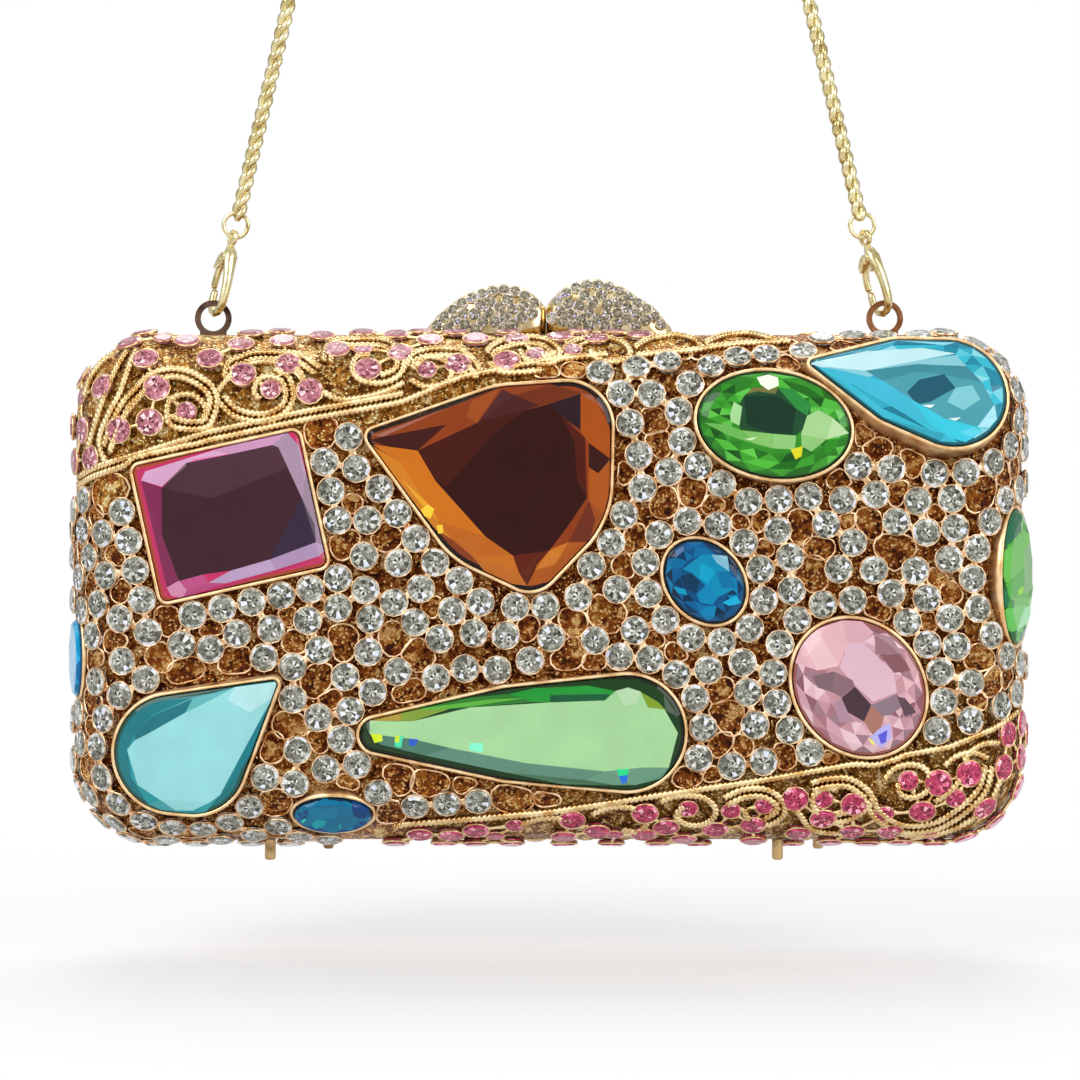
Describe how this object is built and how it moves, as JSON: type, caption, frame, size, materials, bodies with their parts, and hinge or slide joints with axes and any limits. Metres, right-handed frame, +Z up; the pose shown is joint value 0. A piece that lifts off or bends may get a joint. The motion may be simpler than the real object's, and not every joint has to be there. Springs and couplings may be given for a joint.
{
  "type": "evening clutch bag",
  "caption": "Hard rectangular evening clutch with rounded edges, covered in large cut crystals and rhinestones, with a lobed snap clasp and a chain strap on two hooks.",
  "frame": {"origin": "centre of the case seen from above, on the ground under the feet", "axes": "+X along the case's width to the right seen from the front, +Y from the front to the back, +Z up"},
  "size_m": [0.206, 0.0596, 0.2918],
  "materials": {
    "gold_casting": "rough glittering gold plate",
    "gold_frame": "polished gold plate",
    "pale_gold": "polished pale gold plate",
    "copper_tab": "dull copper-brown plate",
    "steel_pin": "plain",
    "lining_cloth": "satin",
    "plum_crystal": "foiled cut crystal",
    "amber_crystal": "foiled cut crystal",
    "green_crystal": "foiled cut crystal",
    "aqua_crystal": "foiled cut crystal",
    "blue_crystal": "foiled cut crystal",
    "rose_crystal": "foiled cut crystal",
    "pale_green_crystal": "foiled cut crystal",
    "clear_rhinestone": "foiled cut crystal",
    "pink_rhinestone": "foiled cut crystal"
  },
  "bodies": {
    "rear_case": {"rear_casting": "gold_casting", "rear_frame": "gold_frame", "rear_lining": "lining_cloth", "rear_bezels": "gold_frame", "rear_plum_crystal": "plum_crystal", "rear_amber_crystal": "amber_crystal", "rear_green_oval_crystal": "green_crystal", "rear_aqua_pear_crystal": "aqua_crystal", "rear_blue_oval_crystal": "blue_crystal", "rear_rose_crystal": "rose_crystal", "rear_green_drop_crystal": "pale_green_crystal", "rear_teal_pear_crystal": "aqua_crystal", "rear_bottom_blue_crystal": "blue_crystal", "rear_side_blue_crystal": "blue_crystal", "rear_side_green_crystal": "green_crystal", "rear_clear_stones": "clear_rhinestone", "rear_pink_stones": "pink_rhinestone", "rear_filigree": "gold_frame", "rear_feet": "gold_frame", "rear_knuckles": "gold_frame", "rear_clasp_lobe": "gold_frame", "rear_lobe_stones": "clear_rhinestone", "hinge_pin": "steel_pin", "tab_rivets": "gold_frame", "left_hook": "pale_gold", "right_hook": "pale_gold", "lever_pins": "pale_gold", "lever_springs": "steel_pin", "left_jump_ring": "pale_gold", "right_jump_ring": "pale_gold", "strap_chain": "pale_gold"},
    "front_case": {"front_casting": "gold_casting", "front_frame": "gold_frame", "front_lining": "lining_cloth", "front_bezels": "gold_frame", "front_plum_crystal": "plum_crystal", "front_amber_crystal": "amber_crystal", "front_green_oval_crystal": "green_crystal", "front_aqua_pear_crystal": "aqua_crystal", "front_blue_oval_crystal": "blue_crystal", "front_rose_crystal": "rose_crystal", "front_green_drop_crystal": "pale_green_crystal", "front_teal_pear_crystal": "aqua_crystal", "front_bottom_blue_crystal": "blue_crystal", "front_side_blue_crystal": "blue_crystal", "front_side_green_crystal": "green_crystal", "front_clear_stones": "clear_rhinestone", "front_pink_stones": "pink_rhinestone", "front_filigree": "gold_frame", "front_feet": "gold_frame", "front_knuckles": "gold_frame", "front_clasp_lobe": "gold_frame", "front_lobe_stones": "clear_rhinestone"},
    "left_tab": {"left_tab": "copper_tab"},
    "right_tab": {"right_tab": "copper_tab"},
    "left_lever": {"left_lever": "pale_gold"},
    "right_lever": {"right_lever": "pale_gold"}
  },
  "joints": [
    {"name": "case_hinge", "type": "hinge", "parent": "rear_case", "child": "front_case", "pos_m": [0, 0, 0.005], "axis": [1, 0, 0], "range_deg": [0, 70]},
    {"name": "left_tab_pivot", "type": "hinge", "parent": "rear_case", "child": "left_tab", "pos_m": [-0.0717, 0.00125, 0.10715], "axis": [0, 1, 0], "range_deg": [-6, 6]},
    {"name": "right_tab_pivot", "type": "hinge", "parent": "rear_case", "child": "right_tab", "pos_m": [0.0717, 0.00125, 0.10715], "axis": [0, 1, 0], "range_deg": [-6, 6]},
    {"name": "left_lever_press", "type": "hinge", "parent": "rear_case", "child": "left_lever", "pos_m": [-0.06909, 0.00186, 0.12648], "axis": [-0.8418, -0.5, 0.2036], "range_deg": [0, 22], "stiffness_Nm_per_rad": 0.01, "springref_deg": -11.46},
    {"name": "right_lever_press", "type": "hinge", "parent": "rear_case", "child": "right_lever", "pos_m": [0.06841, 0.00186, 0.12632], "axis": [-0.8418, -0.5, -0.2036], "range_deg": [0, 22], "stiffness_Nm_per_rad": 0.01, "springref_deg": -11.46}
  ]
}
